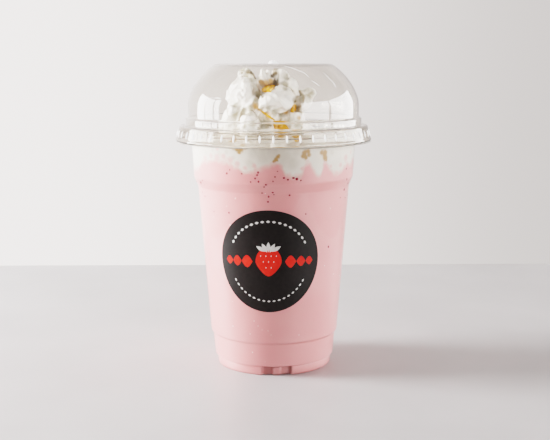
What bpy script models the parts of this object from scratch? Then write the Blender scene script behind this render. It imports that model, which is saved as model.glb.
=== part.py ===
# Strawberry milkshake in a clear cup with a domed lid, whipped cream and a round sticker.
# Metres, +Z up. The origin is the centre of the foot, on the surface that the cup stands on.

import math
import random

import bmesh
import bpy
from mathutils import Matrix, Vector, noise

MM = 0.001

# Driving dimensions of the cup
RIM_RADIUS = 49.2 * MM
RIM_TOP = 125.8 * MM
CURL_WIDTH = 3.2 * MM
CURL_EDGE = 122.4 * MM
CUP_WALL = 0.8 * MM
NECK_HEIGHT = 117.6 * MM
NECK_RADIUS = 42.7 * MM
BAND_RADIUS = 41.7 * MM
BAND_HEIGHT = 100.4 * MM
LEDGE_HEIGHT = 95.6 * MM
LEDGE_RADIUS = 39.7 * MM
GROOVE_HEIGHT = 18.2 * MM
GROOVE_RADIUS = 33.7 * MM
GROOVE_STEP = 1.0 * MM
HEEL_HEIGHT = 5.4 * MM
HEEL_RADIUS = 31.6 * MM
FOOT_RADIUS = 30.2 * MM
FOOT_INNER_RADIUS = 25.2 * MM
FOOT_ROUND = 0.8 * MM
BASE_UNDERSIDE = 4.8 * MM
BASE_THICKNESS = 1.0 * MM

# Notches in the foot ring, each with a small post left standing in its middle
NOTCH_COUNT = 3
NOTCH_AZIMUTH = math.radians(2.5)
NOTCH_WIDTH = 15.5 * MM
NOTCH_HEIGHT = 4.6 * MM
NOTCH_DEPTH = 2.4 * MM
POST_WIDTH = 4.0 * MM
POST_DEPTH = 1.2 * MM
CUTTER_MARGIN = 2.0 * MM

# Driving dimensions of the lid
LID_WALL = 0.8 * MM
LIP_RADIUS = 51.0 * MM
LIP_HEIGHT = 118.6 * MM
SKIRT_RADIUS = 50.7 * MM
FLANGE_TOP = 127.2 * MM
FLANGE_ROUND = 2.0 * MM
COLLAR_RADIUS = 45.9 * MM
COLLAR_TOP = 130.8 * MM
COLLAR_SLOPE = 0.6 * MM
DOME_RADIUS = 44.5 * MM
DOME_SHOULDER = 137.0 * MM
LID_TOP = 158.5 * MM
LID_TOP_RADIUS = 29.5 * MM
DOME_STEPS = 6
DOME_POWER = 1.55
NUB_RADIUS = 2.6 * MM
NUB_HEIGHT = 1.4 * MM
NUB_CROWN_RADIUS = 1.4 * MM
NUB_CROWN_HEIGHT = 1.25 * MM

# Contents
FIT_GAP = 0.3 * MM
MEETING_LEVEL = 107.5 * MM
MEETING_WAVES = ((3, 1.2 * MM, 0.6), (5, 1.6 * MM, 2.1), (8, 0.9 * MM, 4.0))
RING_SHARES = (0.0, 0.4, 0.75)
CREAM_EDGE = 118.2 * MM
MOUND_X = -5.0 * MM

# Round sticker, wrapped on the wall
STICKER_RADIUS = 26.2 * MM
STICKER_THICKNESS = 0.3 * MM
STICKER_HEIGHT = 61.2 * MM
STICKER_AZIMUTH = math.radians(-4.0)
STICKER_COLUMNS = 36

# Heap of cream under the lobes, as (radius, height) in millimetres
HEAP = ((0.0, 149.0), (7.0, 147.0), (12.5, 141.0), (17.0, 132.0), (23.0, 124.5), (31.0, 120.5))

# Lobes of cream in front, in millimetres: tip, root, width, and how far it is a pointed horn
LOBES = (
    ((-15.9, -11.0, 151.3), (-9.5, -4.0, 136.2), 17.5, 0.25),
    ((-21.6, -10.0, 145.2), (-14.7, -4.0, 136.8), 10.0, 0.1),
    ((-10.9, -6.0, 152.2), (-9.5, -4.0, 139.8), 10.0, 0.1),
    ((-14.1, 2.0, 156.1), (-9.5, 2.0, 143.7), 10.0, 0.2),
    ((-5.4, -8.0, 155.7), (-4.3, -4.0, 145.0), 5.5, 0.7),
    ((-2.2, -3.0, 156.4), (-1.7, -3.0, 144.9), 7.0, 0.4),
    ((3.0, 6.0, 156.0), (2.0, 4.0, 143.6), 9.0, 0.3),
    ((5.0, -6.0, 155.2), (6.1, -4.0, 142.4), 6.5, 0.5),
    ((9.4, -8.0, 151.6), (10.7, -5.0, 137.8), 6.5, 0.8),
    ((21.0, -4.0, 144.9), (7.1, -3.0, 137.7), 9.0, 0.0),
    ((-6.6, -22.0, 137.6), (8.6, -10.0, 143.1), 12.5, 0.0),
    ((6.5, -14.0, 145.3), (3.9, -10.0, 131.9), 12.0, 0.4),
    ((-3.2, -21.0, 134.6), (3.9, -13.0, 129.0), 11.0, 0.2),
    ((-21.0, -13.0, 136.7), (-12.0, -7.0, 130.8), 9.5, 0.2),
    ((-24.2, -12.0, 130.1), (-14.2, -7.0, 122.5), 11.0, 0.2),
    ((-14.8, -15.0, 137.8), (-11.0, -10.0, 127.4), 8.5, 0.4),
    ((-11.2, -21.0, 134.6), (-13.4, -17.0, 119.2), 12.5, 0.2),
    ((-7.8, -26.0, 131.9), (-8.7, -21.0, 121.6), 4.5, 1.0),
    ((11.5, -17.0, 133.8), (7.0, -11.0, 122.8), 11.0, 0.0),
    ((-22.4, -19.0, 125.0), (-13.6, -12.0, 114.7), 12.0, 0.0),
    ((14.0, -17.0, 126.7), (7.5, -12.0, 117.2), 11.0, 0.0),
    ((-0.7, -24.0, 126.8), (-0.7, -19.0, 117.3), 13.0, 0.1),
)
# Lobes round the back, in millimetres: reach, height, width and count of each row
BACK_ROWS = ((20.0, 131.0, 14.0, 8), (15.5, 142.0, 13.0, 6), (8.0, 150.5, 10.5, 4))
BACK_START = math.radians(-8.0)
BACK_TURN = math.radians(196.0)

# How much the lobes round the back vary, as the lowest and highest of each draw
BACK_AZIMUTHS = (-0.12, 0.12)
BACK_REACHES = (0.92, 1.05)
BACK_RISES = (-2.0, 3.0)
BACK_DEPTHS = (9.0, 14.0)
BACK_WIDTHS = (0.85, 1.15)
BACK_HORNS = (0.0, 0.6)
BACK_ROOT_SHARE = 0.5

# Each lobe's mesh, its soft facets, its twist and bends, and how a horn leans and tapers
LOBE_RINGS = 7
LOBE_SIDES = 10
FACET_COUNTS = (3, 4, 5)
FACET_TURNS = (-0.22, 0.22)
FACET_DISTANCES = (0.78, 0.95)
FACET_SHARE = 0.75
LONGEST_REACH = 1.25
TWISTS = (-1.1, 1.1)
SIDE_BENDS = (-0.3, 0.3)
BOWS = (0.25, 0.55)
ROUND_POWER = 0.45
HORN_LEAN = 0.45
HORN_TAPER = 0.4

# Slow noise that bends the lobes
WARP_SCALE = 95.0
WARP_REACH = 1.2 * MM

# Drops of syrup, in millimetres: centre, and size along each axis
SYRUP_DROPS = (
    ((-3.6, -10.5, 145.6), (6.5, 6.0, 3.6)),
    ((10.0, -17.5, 135.6), (2.4, 6.0, 4.0)),
    ((3.0, -25.0, 127.2), (7.6, 7.0, 4.2)),
    ((-3.7, -20.8, 133.8), (8.5, 4.0, 2.6)),
)

SEGMENTS = 48
MERGE_DISTANCE = 0.00001
WELD_DISTANCE = 0.02 * MM
SEED = 11
LOBE_SEED = SEED + 2


def clear_scene():
    for obj in list(bpy.data.objects):
        bpy.data.objects.remove(obj, do_unlink=True)


def new_collection(name):
    collection = bpy.data.collections.new(name)
    bpy.context.scene.collection.children.link(collection)
    return collection


def make_material(name, color, roughness, alpha=1.0):
    material = bpy.data.materials.new(name)
    material.use_nodes = True
    shader = material.node_tree.nodes["Principled BSDF"]
    shader.inputs["Base Color"].default_value = (*color, 1.0)
    shader.inputs["Roughness"].default_value = roughness
    shader.inputs["Metallic"].default_value = 0.0
    shader.inputs["Alpha"].default_value = alpha
    return material


def add_object(name, mesh, collection):
    obj = bpy.data.objects.new(name, mesh)
    collection.objects.link(obj)
    return obj


def from_bmesh(name, bm, collection):
    mesh = bpy.data.meshes.new(name)
    bm.normal_update()
    bm.to_mesh(mesh)
    bm.free()
    return add_object(name, mesh, collection)


def apply_modifiers(obj):
    """Replace the object's mesh by the one that its modifiers make."""
    graph = bpy.context.evaluated_depsgraph_get()
    mesh = bpy.data.meshes.new_from_object(obj.evaluated_get(graph))
    obj.modifiers.clear()
    obj.data = mesh


def keep_main_body(obj):
    """Keep the largest closed skin, so that sealed hollows are filled and loose scraps go."""
    bm = bmesh.new()
    bm.from_mesh(obj.data)
    unseen = set(bm.faces)
    skins = []
    while unseen:
        skin = {unseen.pop()}
        front = list(skin)
        while front:
            face = front.pop()
            near = {other for edge in face.edges for other in edge.link_faces} & unseen
            unseen -= near
            skin |= near
            front += near
        skins.append(skin)
    main_skin = max(skins, key=len)
    spare = [face for face in bm.faces if face not in main_skin]
    bmesh.ops.delete(bm, geom=spare, context="FACES")
    bm.to_mesh(obj.data)
    bm.free()


def weld(obj):
    """Cut the faces into triangles and join the points that nearly touch."""
    bm = bmesh.new()
    bm.from_mesh(obj.data)
    bmesh.ops.triangulate(bm, faces=bm.faces)
    bmesh.ops.remove_doubles(bm, verts=bm.verts, dist=WELD_DISTANCE)
    bm.to_mesh(obj.data)
    bm.free()


def smooth(obj, angle=math.radians(35)):
    obj.data.shade_smooth()
    obj.data.set_sharp_from_angle(angle=angle)


def arc(center, radius, start, end, steps):
    """Points of an arc in the (radius, height) plane, by angles from the +radius direction."""
    points = []
    for step in range(steps + 1):
        angle = start + (end - start) * step / steps
        points.append((center[0] + radius * math.cos(angle), center[1] + radius * math.sin(angle)))
    return points


def turned(name, profile, collection):
    """Turn a profile of (radius, height) points about Z. It runs down its outer side."""
    mesh = bpy.data.meshes.new(name)
    edges = [(index, index + 1) for index in range(len(profile) - 1)]
    mesh.from_pydata([(radius, 0.0, height) for radius, height in profile], edges, [])
    obj = add_object(name, mesh, collection)
    screw = obj.modifiers.new("Turn", "SCREW")
    screw.angle = math.tau
    screw.steps = SEGMENTS
    screw.render_steps = SEGMENTS
    screw.use_merge_vertices = True
    screw.merge_threshold = MERGE_DISTANCE
    return obj


def wall_outline():
    """Outer face of the cup's wall, from under the rim down to the heel."""
    curl_outer = CURL_WIDTH / 2
    return [
        (RIM_RADIUS - 2 * curl_outer + CUP_WALL, CURL_EDGE),
        (NECK_RADIUS, NECK_HEIGHT),
        (BAND_RADIUS, BAND_HEIGHT),
        (LEDGE_RADIUS, LEDGE_HEIGHT),
        (GROOVE_RADIUS, GROOVE_HEIGHT),
        (GROOVE_RADIUS - GROOVE_STEP, GROOVE_HEIGHT - GROOVE_STEP),
        (HEEL_RADIUS, HEEL_HEIGHT),
    ]


def wall_radius(height):
    """Radius of the wall's outer face at a height above the heel."""
    points = wall_outline()
    for (upper_radius, upper), (lower_radius, lower) in zip(points, points[1:]):
        if height >= lower:
            share = min(1.0, (height - lower) / (upper - lower))
            return lower_radius + (upper_radius - lower_radius) * share
    return points[-1][0]


def inner_wall(inset, top, bottom):
    """Points down the wall at a depth under its outer face, between two heights."""
    heights = [top] + [z for _, z in wall_outline() if bottom < z < top] + [bottom]
    return [(wall_radius(height) - inset, height) for height in heights]


def make_cup(collection, cutters):
    floor = BASE_UNDERSIDE + BASE_THICKNESS
    curl_outer = CURL_WIDTH / 2
    curl_center = (RIM_RADIUS - curl_outer, RIM_TOP - curl_outer)
    rim_inner = RIM_RADIUS - CURL_WIDTH
    inside = [(radius - CUP_WALL, height) for radius, height in wall_outline()]
    inside[-1] = (inside[-1][0] - CUP_WALL, floor)
    profile = [(0.0, floor)] + inside[::-1]
    profile[-1] = (rim_inner, CURL_EDGE)
    profile += arc(curl_center, curl_outer, math.pi, 0.0, 6)
    profile += [(RIM_RADIUS, CURL_EDGE), (RIM_RADIUS - CUP_WALL, CURL_EDGE)]
    profile += arc(curl_center, curl_outer - CUP_WALL, 0.0, math.pi, 3)
    profile += wall_outline()
    profile += [(FOOT_RADIUS, BASE_UNDERSIDE), (FOOT_RADIUS, FOOT_ROUND), (FOOT_RADIUS - FOOT_ROUND, 0.0)]
    profile += [(FOOT_INNER_RADIUS + FOOT_ROUND, 0.0), (FOOT_INNER_RADIUS, BASE_UNDERSIDE)]
    profile += [(0.0, BASE_UNDERSIDE)]
    cup = turned("cup", profile, collection)
    apply_modifiers(cup)
    for index in range(NOTCH_COUNT):
        azimuth = NOTCH_AZIMUTH + math.tau * index / NOTCH_COUNT
        cutter = notch_cutter(index, azimuth, cutters)
        cut = cup.modifiers.new("Notch", "BOOLEAN")
        cut.operation = "DIFFERENCE"
        cut.object = cutter
    smooth(cup)
    cup.data.materials.append(make_material("clear_cup", (0.9, 0.92, 0.92), 0.05, 0.3))
    return cup


def notch_cutter(index, azimuth, cutters):
    """A cutter outside the foot ring. Its outline steps back in the middle, where the post stands."""
    outside = FOOT_RADIUS + CUTTER_MARGIN
    pocket = FOOT_RADIUS - NOTCH_DEPTH
    post = FOOT_RADIUS - POST_DEPTH
    half = NOTCH_WIDTH / 2
    post_half = POST_WIDTH / 2
    outline = [(-half, outside), (half, outside), (half, pocket), (post_half, pocket)]
    outline += [(post_half, post), (-post_half, post), (-post_half, pocket), (-half, pocket)]
    bm = bmesh.new()
    face = bm.faces.new([bm.verts.new((x, -y, -MM)) for x, y in outline])
    raised = bmesh.ops.extrude_face_region(bm, geom=[face])["geom"]
    corners = [item for item in raised if isinstance(item, bmesh.types.BMVert)]
    bmesh.ops.translate(bm, verts=corners, vec=(0.0, 0.0, NOTCH_HEIGHT + MM))
    bmesh.ops.recalc_face_normals(bm, faces=bm.faces)
    cutter = from_bmesh("notch_cutter_%d" % index, bm, cutters)
    cutter.rotation_euler = (0.0, 0.0, azimuth)
    cutter.hide_render = True
    cutter.display_type = "WIRE"
    return cutter


def make_lid(collection):
    profile = [
        (0.0, LID_TOP + NUB_HEIGHT),
        (NUB_CROWN_RADIUS, LID_TOP + NUB_CROWN_HEIGHT),
        (NUB_RADIUS, LID_TOP),
        (LID_TOP_RADIUS, LID_TOP),
    ]
    profile += dome_outline()
    profile += [
        (DOME_RADIUS, COLLAR_TOP + COLLAR_SLOPE),
        (COLLAR_RADIUS, COLLAR_TOP - COLLAR_SLOPE),
        (COLLAR_RADIUS, FLANGE_TOP),
    ]
    round_center = (SKIRT_RADIUS - FLANGE_ROUND, FLANGE_TOP - FLANGE_ROUND)
    profile += arc(round_center, FLANGE_ROUND, math.pi / 2, 0.0, 3)
    profile += [(LIP_RADIUS, LIP_HEIGHT)]
    lid = turned("lid", profile, collection)
    shell = lid.modifiers.new("Sheet", "SOLIDIFY")
    shell.thickness = LID_WALL
    shell.offset = -1.0
    shell.use_even_offset = True
    shell.use_quality_normals = True
    smooth(lid)
    lid.data.materials.append(make_material("clear_lid", (0.92, 0.93, 0.93), 0.05, 0.3))
    return lid


def dome_outline():
    """The dome's sloping side, from the edge of the flat top down to the upright wall."""
    points = []
    for step in range(1, DOME_STEPS + 1):
        share = step / DOME_STEPS
        radius = LID_TOP_RADIUS + (DOME_RADIUS - LID_TOP_RADIUS) * math.sin(share * math.pi / 2)
        fall = (1.0 - math.cos(share * math.pi / 2)) ** (1.0 / DOME_POWER)
        points.append((radius, LID_TOP - (LID_TOP - DOME_SHOULDER) * fall))
    return points


def meeting_height(azimuth, share):
    """Level where the cream meets the drink, wavy at the wall and level at the centre."""
    wave = sum(size * math.sin(count * azimuth + phase) for count, size, phase in MEETING_WAVES)
    return wave * share * share


def ripple(obj, low, high):
    """Move the points between two heights by the wave of the level where cream and drink meet."""
    rim = wall_radius(MEETING_LEVEL)
    for vertex in obj.data.vertices:
        if low <= vertex.co.z <= high:
            reach = math.hypot(vertex.co.x, vertex.co.y)
            vertex.co.z += meeting_height(math.atan2(vertex.co.y, vertex.co.x), reach / rim)


def make_milkshake(collection):
    inset = CUP_WALL + FIT_GAP
    floor = BASE_UNDERSIDE + BASE_THICKNESS + FIT_GAP
    top = MEETING_LEVEL
    edge = inner_wall(inset, top, HEEL_HEIGHT)
    edge[-1] = (HEEL_RADIUS - inset - CUP_WALL, floor)
    rings = [(edge[0][0] * share, top) for share in RING_SHARES]
    drink = turned("milkshake", rings + edge + [(0.0, floor)], collection)
    apply_modifiers(drink)
    ripple(drink, top - MM, top + MM)
    smooth(drink)
    drink.data.materials.append(make_material("milkshake", (0.9, 0.58, 0.6), 0.45))
    return drink


def cream_core(collection):
    """The cream that fills the cup's neck and rises to the foot of the mound."""
    inset = CUP_WALL + FIT_GAP
    bottom = MEETING_LEVEL + FIT_GAP
    edge = inner_wall(inset, CREAM_EDGE, bottom)
    heap = [(radius * MM, height * MM) for radius, height in HEAP]
    rings = [(edge[-1][0] * share, bottom) for share in RING_SHARES[::-1]]
    core = turned("whipped_cream", heap + edge + rings, collection)
    apply_modifiers(core)
    ripple(core, bottom - MM, bottom + MM)
    for vertex in core.data.vertices:
        rise = (vertex.co.z - CREAM_EDGE) / (LID_TOP - CREAM_EDGE)
        vertex.co.x += MOUND_X * max(0.0, min(1.0, rise * 3))
    return core


def lobe_places():
    """Tip, root, width and horn of every lobe: those in front, then the rows round the back."""
    draw = random.Random(SEED)
    places = [(Vector(tip) * MM, Vector(root) * MM, width * MM, horn) for tip, root, width, horn in LOBES]
    for reach, height, width, count in BACK_ROWS:
        for index in range(count):
            azimuth = BACK_START + BACK_TURN * (index + 0.5) / count + draw.uniform(*BACK_AZIMUTHS)
            outward = Vector((math.cos(azimuth), math.sin(azimuth), 0.0))
            middle = Vector((MOUND_X, 0.0, 0.0))
            tip = middle + outward * reach * draw.uniform(*BACK_REACHES) * MM
            tip.z = (height + draw.uniform(*BACK_RISES)) * MM
            root = middle + outward * reach * BACK_ROOT_SHARE * MM
            root.z = tip.z - draw.uniform(*BACK_DEPTHS) * MM
            places.append((tip, root, width * draw.uniform(*BACK_WIDTHS) * MM, draw.uniform(*BACK_HORNS)))
    return places


def lobe_reach(angle, facets):
    """Radius of a lobe's faceted outline at an angle, as a share of the round one."""
    reach = LONGEST_REACH
    for facing, distance in facets:
        toward = math.cos(angle - facing)
        if toward * LONGEST_REACH > distance:
            reach = min(reach, distance / toward)
    return 1.0 - FACET_SHARE + FACET_SHARE * reach


def cream_lobe(name, tip, root, width, horn, draw, collection):
    """A lobe of cream with a few soft facets, twisted and bent from its root to its tip."""
    count = draw.choice(FACET_COUNTS)
    facets = [
        (math.tau * (index + draw.uniform(*FACET_TURNS)) / count, draw.uniform(*FACET_DISTANCES))
        for index in range(count)
    ]
    twist = draw.uniform(*TWISTS)
    bend = draw.uniform(*SIDE_BENDS)
    axis = tip - root
    side = axis.cross(Vector((0.0, 0.0, 1.0))).normalized()
    lift = side.cross(axis).normalized()
    bow = (lift * draw.uniform(*BOWS) + side * bend) * axis.length
    bm = bmesh.new()
    loops = []
    for ring in range(1, LOBE_RINGS):
        share = (1.0 - math.cos(math.pi * ring / LOBE_RINGS)) / 2
        swell = share ** (1.0 - HORN_LEAN * horn)
        center = root + axis * share + bow * (share * share - share)
        radius = width / 2 * (4.0 * swell * (1.0 - swell)) ** (ROUND_POWER + HORN_TAPER * horn)
        loop = []
        for corner in range(LOBE_SIDES):
            angle = math.tau * corner / LOBE_SIDES
            outward = side * math.cos(angle) + lift * math.sin(angle)
            place = center + outward * radius * lobe_reach(angle - twist * share, facets)
            loop.append(bm.verts.new(place))
        loops.append(loop)
    first = bm.verts.new(root)
    last = bm.verts.new(tip)
    for corner in range(LOBE_SIDES):
        after = (corner + 1) % LOBE_SIDES
        bm.faces.new((first, loops[0][after], loops[0][corner]))
        for below, above in zip(loops, loops[1:]):
            bm.faces.new((below[corner], below[after], above[after], above[corner]))
        bm.faces.new((last, loops[-1][corner], loops[-1][after]))
    for vertex in bm.verts:
        vertex.co += noise.noise_vector(vertex.co * WARP_SCALE) * WARP_REACH
    bmesh.ops.recalc_face_normals(bm, faces=bm.faces)
    return from_bmesh(name, bm, collection)


def syrup_drop(name, center, size, collection):
    """A drop of thick syrup, lying in a fold of the cream."""
    bm = bmesh.new()
    place = Matrix.Translation(center) @ Matrix.Diagonal((*size, 1.0))
    bmesh.ops.create_uvsphere(bm, u_segments=8, v_segments=6, radius=0.5, matrix=place)
    return from_bmesh(name, bm, collection)


def make_cream(collection, blobs):
    cream = cream_core(collection)
    draw = random.Random(LOBE_SEED)
    for index, (tip, root, width, horn) in enumerate(lobe_places()):
        cream_lobe("lobe_%02d" % index, tip, root, width, horn, draw, blobs)
    for index, (center, size) in enumerate(SYRUP_DROPS):
        syrup_drop("syrup_%02d" % index, Vector(center) * MM, Vector(size) * MM, blobs)
    union = cream.modifiers.new("Fuse", "BOOLEAN")
    union.operation = "UNION"
    union.operand_type = "COLLECTION"
    union.collection = blobs
    apply_modifiers(cream)
    for obj in list(blobs.objects):
        bpy.data.objects.remove(obj, do_unlink=True)
    bpy.data.collections.remove(blobs)
    weld(cream)
    keep_main_body(cream)
    smooth(cream)
    cream.data.materials.append(make_material("whipped_cream", (0.93, 0.91, 0.87), 0.5))
    return cream


def make_sticker(collection):
    """A thin disc bent round the wall, cut into upright strips that follow the wall's slope."""
    bm = bmesh.new()
    columns = []
    for index in range(STICKER_COLUMNS):
        angle = math.pi * (index + 0.5) / STICKER_COLUMNS
        along = -STICKER_RADIUS * math.cos(angle)
        half = STICKER_RADIUS * math.sin(angle)
        azimuth = STICKER_AZIMUTH + along / wall_radius(STICKER_HEIGHT)
        column = []
        for height in (STICKER_HEIGHT - half, STICKER_HEIGHT + half):
            radius = wall_radius(height) + FIT_GAP
            column.append(bm.verts.new((radius * math.sin(azimuth), -radius * math.cos(azimuth), height)))
        columns.append(column)
    for left, right in zip(columns, columns[1:]):
        bm.faces.new((left[0], right[0], right[1], left[1]))
    sticker = from_bmesh("sticker", bm, collection)
    sheet = sticker.modifiers.new("Sheet", "SOLIDIFY")
    sheet.thickness = STICKER_THICKNESS
    sheet.offset = 1.0
    smooth(sticker)
    sticker.data.materials.append(make_material("sticker", (0.03, 0.027, 0.027), 0.4))
    return sticker


def main():
    clear_scene()
    noise.seed_set(SEED)
    collection = new_collection("strawberry_milkshake")
    cutters = new_collection("cutters")
    blobs = new_collection("cream_lobes")
    make_cup(collection, cutters)
    make_lid(collection)
    make_milkshake(collection)
    make_cream(collection, blobs)
    make_sticker(collection)


main()
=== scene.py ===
import math
import random

import bmesh
import bpy
import numpy as np
from mathutils import Matrix, Vector, noise
from mathutils.bvhtree import BVHTree


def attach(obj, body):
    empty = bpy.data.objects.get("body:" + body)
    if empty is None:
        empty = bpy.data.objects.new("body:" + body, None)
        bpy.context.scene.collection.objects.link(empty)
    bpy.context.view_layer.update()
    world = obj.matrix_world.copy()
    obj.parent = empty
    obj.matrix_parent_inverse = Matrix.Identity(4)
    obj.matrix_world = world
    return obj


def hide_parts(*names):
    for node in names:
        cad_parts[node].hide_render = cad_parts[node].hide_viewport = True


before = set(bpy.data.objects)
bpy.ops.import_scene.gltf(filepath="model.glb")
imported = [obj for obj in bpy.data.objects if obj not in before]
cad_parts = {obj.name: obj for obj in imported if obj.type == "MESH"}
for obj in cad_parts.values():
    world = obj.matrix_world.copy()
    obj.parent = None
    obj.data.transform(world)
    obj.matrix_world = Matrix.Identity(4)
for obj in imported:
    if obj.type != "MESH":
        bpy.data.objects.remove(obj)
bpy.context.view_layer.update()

MM = 0.001

# The camera, in the photograph's own pixels
IMAGE_WIDTH = 550
IMAGE_HEIGHT = 440
FOCAL_PIXELS = 1017.0
SENSOR_WIDTH = 36.0
CAMERA_PLACE = Vector((0.00068, -0.533, 0.163))
CAMERA_PITCH = math.radians(9.24)
CAMERA_ROLL = math.radians(-0.19)
TABLE_BACK = 0.25

# World strength along each axis of direction: start, end, strength at the start and at the end
WORLD_COLOR = (1.0, 0.93, 0.9, 1.0)
WORLD_RAMPS = (
    ("X", -0.3, 0.3, 0.95, 0.38),
    ("Y", -0.95, 0.1, 0.22, 1.0),
    ("Z", 0.95, 0.25, 0.45, 1.0),
)
# Softboxes: azimuth from the front to the right, height, size, power, and which rays they light
LIGHTS = (
    ("window_left", -93.0, 0.29, (0.4, 0.5), 12.5, "diffuse"),
    ("window_right_near", 57.0, 0.16, (0.74, 0.3), 1.2, "diffuse"),
    ("window_right_far", 106.0, 0.16, (0.95, 0.3), 1.9, "diffuse"),
    ("shine_left_near", -79.0, 0.26, (0.14, 0.5), 1.6, "glossy"),
    ("shine_left_middle", -93.0, 0.25, (0.26, 0.46), 2.4, "glossy"),
    ("shine_left_far", -110.0, 0.26, (0.3, 0.5), 3.4, "glossy"),
    ("shine_right_near", 57.0, 0.28, (0.74, 0.4), 3.6, "glossy"),
    ("shine_right_far", 106.0, 0.3, (0.95, 0.42), 5.2, "glossy"),
)
# Softboxes that light only the mound of cream and only the table: azimuth, height, size and power
CREAM_LIGHT = (-28.0, 0.5, (0.4, 0.4), 3.1)
TABLE_LIGHT = (-94.0, 0.3, (0.4, 0.4), 7.0)
LIGHT_DISTANCE = 1.0
LIGHT_AIM = Vector((0.0, 0.0, 0.08))

# The cup
SHEET = 0.45 * MM
RIM_RADIUS = 49.2 * MM
RIM_TOP = 125.8 * MM
CURL_WIDTH = 3.2 * MM
CURL_EDGE = 122.4 * MM
NECK = (42.7 * MM, 117.6 * MM)
BAND = (41.7 * MM, 100.4 * MM)
LEDGE = (39.7 * MM, 95.6 * MM)
GROOVE = (33.7 * MM, 18.2 * MM)
GROOVE_STEP = 1.0 * MM
HEEL = (31.6 * MM, 5.4 * MM)
FOOT_RADIUS = 30.2 * MM
FOOT_INNER_RADIUS = 25.2 * MM
BASE_UNDERSIDE = 4.8 * MM
CORNER = 0.5 * MM
NOTCH_COUNT = 3
NOTCH_AZIMUTH = math.radians(2.5)
NOTCH_WIDTH = 15.5 * MM
NOTCH_DEPTH = 2.0 * MM
POST_WIDTH = 4.0 * MM
POST_DEPTH = 0.9 * MM

# The lid
LIP = (51.0 * MM, 118.6 * MM)
SKIRT_RADIUS = 50.5 * MM
SKIRT_LOW = 120.8 * MM
SKIRT_FLARE = 1.6 * MM
BEAD_RADIUS = 0.28 * MM
FLANGE_TOP = 127.2 * MM
FLANGE_RADIUS = 47.6 * MM
FLANGE_TURN = 1.5 * MM
LID_CORNER = 0.6 * MM
COLLAR_RADIUS = 45.9 * MM
COLLAR_TOP = 130.8 * MM
DOME_RADIUS = 44.5 * MM
DOME_SHOULDER = 137.0 * MM
LID_TOP = 158.5 * MM
LID_TOP_RADIUS = 29.5 * MM
NUB_RADIUS = 2.4 * MM
NUB_HEIGHT = 1.4 * MM
RIB_COUNT = 48
RIB_WIDTH = 0.95 * MM
RIB_DEPTH = 0.4 * MM
RIB_LOW = 121.3 * MM
RIB_HIGH = 125.0 * MM

# Fine scuffs on the dome with a painted glint: start, middle and end in pixels of the photograph, and width
# in millimetres
SCUFF_GLINT_PIXELS = (
    ((284, 66), (294, 67.5), (303, 73), 0.32),
    ((299, 70), (306, 73), (309, 77.5), 0.26),
    ((311, 80.5), (315, 82), (320, 86.5), 0.34),
    ((323, 72), (328, 76), (332, 82), 0.24),
    ((331, 79), (334, 83), (336, 88), 0.3),
    ((199, 98), (202, 96.5), (205, 98.5), 0.3),
    ((206, 97.5), (209, 99), (213, 97.5), 0.26),
    ((214, 98.5), (217, 97), (221, 99), 0.3),
    ((199.5, 101), (200.2, 106), (200, 112), 0.24),
)
SCUFF_GLINT_DEPTH = 0.08 * MM
SCUFF_GLINT_FLATNESS = 0.6
SCUFF_GLINT_STEPS = 24
SCUFF_GLINT_SIDES = 6

# What fills the cup reaches a little into the sheet, so that no air shows between them
FILLING_INSET = SHEET - 0.15 * MM
MEETING_LEVEL = 107.5 * MM
MEETING_FADE = 4.0 * MM
MEETING_WAVES = ((3, 1.2 * MM, 0.6), (5, 1.6 * MM, 2.1), (8, 0.9 * MM, 4.0))
FINGER_HEIGHT = 3.5 * MM
DRINK_LEVEL = 99.0 * MM
CREAM_EDGE = 118.2 * MM
# The top of the cream in the neck: radius, and height over its edge, in millimetres
CREAM_TOP = ((0.0, 3.0), (31.0, 1.8), (36.0, 1.0), (39.5, 0.5))
CREAM_TOP_WAVE = 1.2 * MM
CREAM_TOP_SCALE = 90.0

# Where drink and cream meet on the front of the wall, in pixels of the photograph
MEETING_LINE_PIXELS = (
    (194, 169), (199, 167), (202, 161), (214, 160), (225, 161), (232, 164), (236, 168), (244, 172),
    (252, 170), (260, 167), (269, 166), (275, 163), (278, 161.5), (282, 166), (285, 172), (292, 175.5),
    (300, 176), (303, 173), (304.5, 167), (306.5, 162), (309, 161), (311.5, 164), (314.5, 170),
    (317.5, 174), (320.5, 174.5), (322.3, 170), (323.6, 164), (325.6, 161), (328, 163), (331, 168),
    (334.5, 172), (339, 172.5), (342, 169), (344.5, 165), (347.5, 163), (350, 164), (352, 161), (353, 158),
)

# Spots of colour in the cream at the wall, in pixels of the photograph, and their reach in millimetres
WALL_SYRUP_PIXELS = (
    (233, 148, 1.5), (237, 149.5, 1.6), (241, 149.5, 1.6), (245, 148.5, 1.1), (239, 152, 1.3),
    (274, 161.5, 1.0), (276, 159.5, 1.4), (278, 157, 1.3), (279, 155.5, 1.0), (305, 153, 1.9),
    (308, 152, 1.6), (306, 157, 1.6), (304, 156, 1.7), (309, 155, 1.6), (322, 152.5, 1.5),
    (325, 153.5, 1.9), (325.5, 157.5, 1.8), (326, 160, 1.3),
)
# Painted shade on the cream at the wall: broad patches over the middle and small marbled ones on the left
WALL_SHADE_PIXELS = (
    (206, 153, 1.6), (212, 150, 1.3), (219, 153, 1.5), (226, 152, 1.5), (233, 158, 1.4), (249, 163, 2.6),
    (254, 154, 3.6), (263, 156, 5.0), (273, 154, 5.0), (284, 157, 5.0), (293, 163, 3.6), (296, 153, 2.4),
    (332, 153, 1.6),
)
WALL_PINK_PIXELS = (
    (205, 159, 2.2), (211, 156, 1.6), (217, 158, 2.4), (223, 156, 1.6), (230, 160, 2.0), (237, 164, 1.8),
    (217, 149, 1.2), (245, 168, 1.4), (254, 166, 1.4), (303, 169, 1.4), (308, 163, 1.6), (325, 163, 1.4),
    (346, 158, 2.2), (351, 152, 1.4), (331, 166, 1.2), (341, 165, 1.6),
)

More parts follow.
